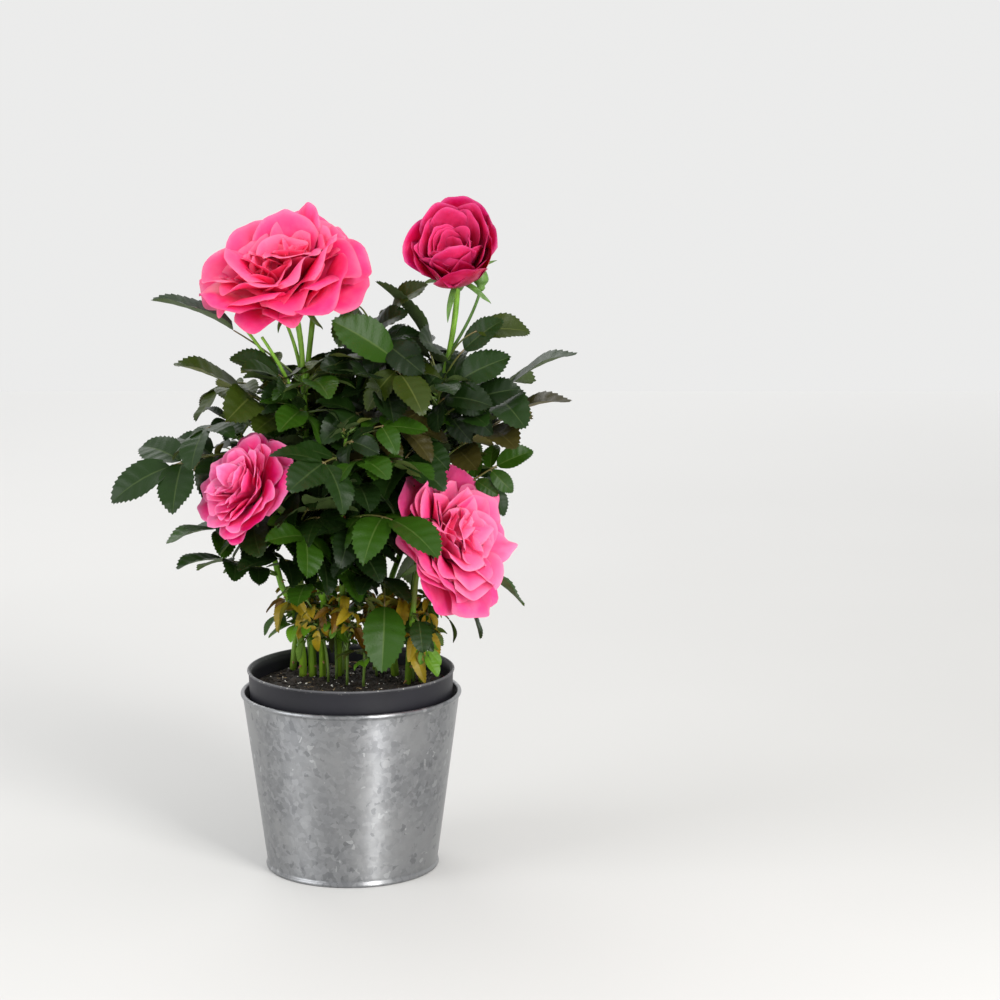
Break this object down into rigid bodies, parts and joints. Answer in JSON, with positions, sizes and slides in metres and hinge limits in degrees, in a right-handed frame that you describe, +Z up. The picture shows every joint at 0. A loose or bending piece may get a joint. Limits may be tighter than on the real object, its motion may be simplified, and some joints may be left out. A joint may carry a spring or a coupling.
{
  "type": "potted rose bush",
  "caption": "Small rose bush in full flower, with leafy canes, rooted in a plastic nursery pot that stands in a galvanised metal pot.",
  "frame": {"origin": "centre of the flat underside of the galvanised pot, on the surface that it stands on", "axes": "+Z up along the pots' axis, -Y to the front of the plant, +X to the right as seen from the front"},
  "size_m": [0.2645, 0.1823, 0.3866],
  "materials": {
    "galvanised_metal": "mottled galvanised zinc with a soft lustre",
    "pot_plastic": "matt dark grey moulded plastic, worn paler at the rim",
    "potting_soil": "dark crumbly potting soil with white grains",
    "cane_bark": "smooth green bark with thorns, brown at the foot",
    "leaf": "glossy dark green leaves, paler below",
    "petal": "soft satin pink petals"
  },
  "bodies": {
    "root": {"zinc_pot": "galvanised_metal", "nursery_pot": "pot_plastic", "soil": "potting_soil", "cane_left": "cane_bark", "cane_front_left": "cane_bark", "cane_top_left": "cane_bark", "cane_centre": "cane_bark", "cane_top_centre": "cane_bark", "cane_top_right": "cane_bark", "cane_right": "cane_bark", "cane_front_right": "cane_bark", "cane_back_left": "cane_bark", "cane_back": "cane_bark", "cane_back_right": "cane_bark", "leaves_left": "leaf", "leaves_front_left": "leaf", "leaves_top_left": "leaf", "leaves_centre": "leaf", "leaves_top_centre": "leaf", "leaves_top_right": "leaf", "leaves_right": "leaf", "leaves_front_right": "leaf", "leaves_back_left": "leaf", "leaves_back": "leaf", "leaves_back_right": "leaf", "bloom_top_left": "petal", "bloom_top_right": "petal", "bloom_left": "petal", "bloom_right": "petal"}
  },
  "joints": []
}
